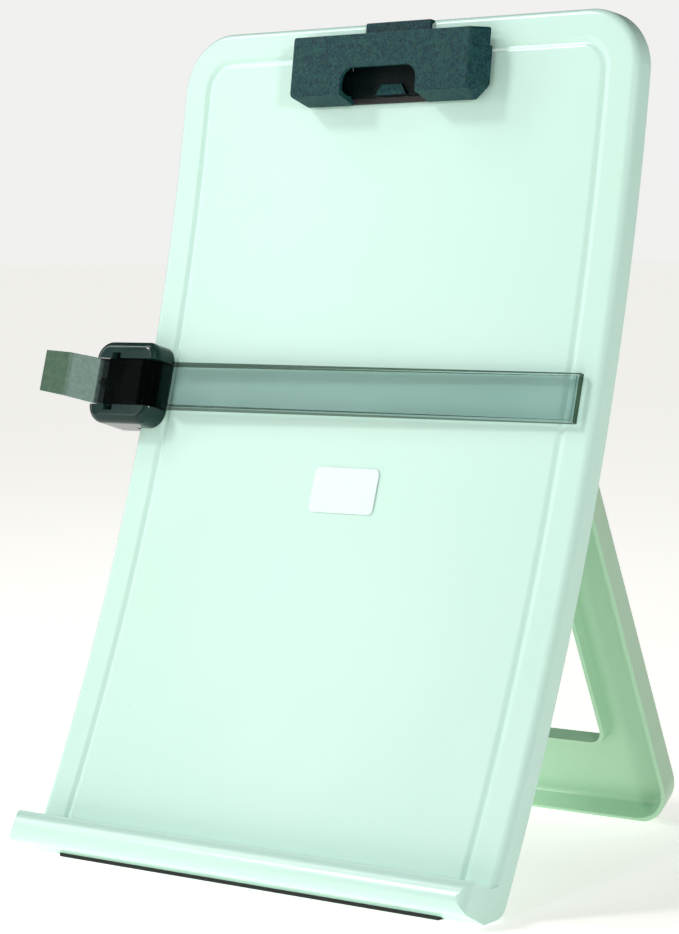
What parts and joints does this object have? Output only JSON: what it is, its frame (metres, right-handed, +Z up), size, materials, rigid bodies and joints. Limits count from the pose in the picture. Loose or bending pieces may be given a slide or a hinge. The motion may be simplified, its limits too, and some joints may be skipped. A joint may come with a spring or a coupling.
{
  "type": "desktop copy holder",
  "caption": "Curved plastic easel board with a document ledge, a sprung paper clip, a clear line guide on a sliding carriage and a folding rear leg.",
  "frame": {"origin": "on the desk, at the centre of the grip strip's underside below the ledge", "axes": "+X to the reader's right, +Y away from the reader, +Z up"},
  "size_m": [0.2781, 0.2257, 0.3465],
  "materials": {
    "board_plastic": "satin moulded mint green",
    "clip_plastic": "dark teal with a fine spark texture",
    "slider_plastic": "glossy black",
    "guide_plastic": "clear, smoke tinted and polished",
    "steel": "bright zinc",
    "rubber": "matt black",
    "label_paper": "plain satin sticker"
  },
  "bodies": {
    "board_frame": {"board": "board_plastic", "label": "label_paper", "ledge_strip": "rubber", "leg_rod": "steel", "leg_cap_left": "board_plastic", "leg_cap_right": "board_plastic", "leg_screw_left_upper": "steel", "leg_screw_left_lower": "steel", "leg_screw_right_upper": "steel", "leg_screw_right_lower": "steel", "clip_base": "clip_plastic", "clip_screw_left": "steel", "clip_screw_right": "steel", "clip_pin": "steel", "clip_spring_left": "steel", "clip_spring_right": "steel"},
    "rear_leg": {"leg": "board_plastic"},
    "jaw": {"clip_jaw": "clip_plastic", "clip_pad": "rubber"},
    "carriage": {"slider_body": "slider_plastic", "slider_back_plate": "slider_plastic", "slider_brake_spring": "steel", "slider_screw_upper": "steel", "slider_screw_lower": "steel", "guide_spring": "steel"},
    "line_guide": {"guide": "guide_plastic"}
  },
  "joints": [
    {"name": "leg_fold", "type": "hinge", "parent": "board_frame", "child": "rear_leg", "pos_m": [0, 0.10475, 0.24074], "axis": [1, 0, 0], "range_deg": [-42, 0]},
    {"name": "clip_open", "type": "hinge", "parent": "board_frame", "child": "jaw", "pos_m": [0, 0.09962, 0.33562], "axis": [1, 0, 0], "range_deg": [-18, 0], "stiffness_Nm_per_rad": 0.35, "springref_deg": 14.32, "deforming": ["clip_spring_left", "clip_spring_right"]},
    {"name": "carriage_slide", "type": "hinge", "parent": "board_frame", "child": "carriage", "pos_m": [0, -0.93574, 0.4818], "axis": [1, 0, 0], "range_deg": [-9.1, 5.8]},
    {"name": "guide_lift", "type": "hinge", "parent": "carriage", "child": "line_guide", "pos_m": [-0.129, 0.06757, 0.19464], "axis": [0, 0.2752, 0.9614], "range_deg": [-15, 0], "stiffness_Nm_per_rad": 0.03, "springref_deg": 17.19, "deforming": ["guide_spring"]}
  ]
}
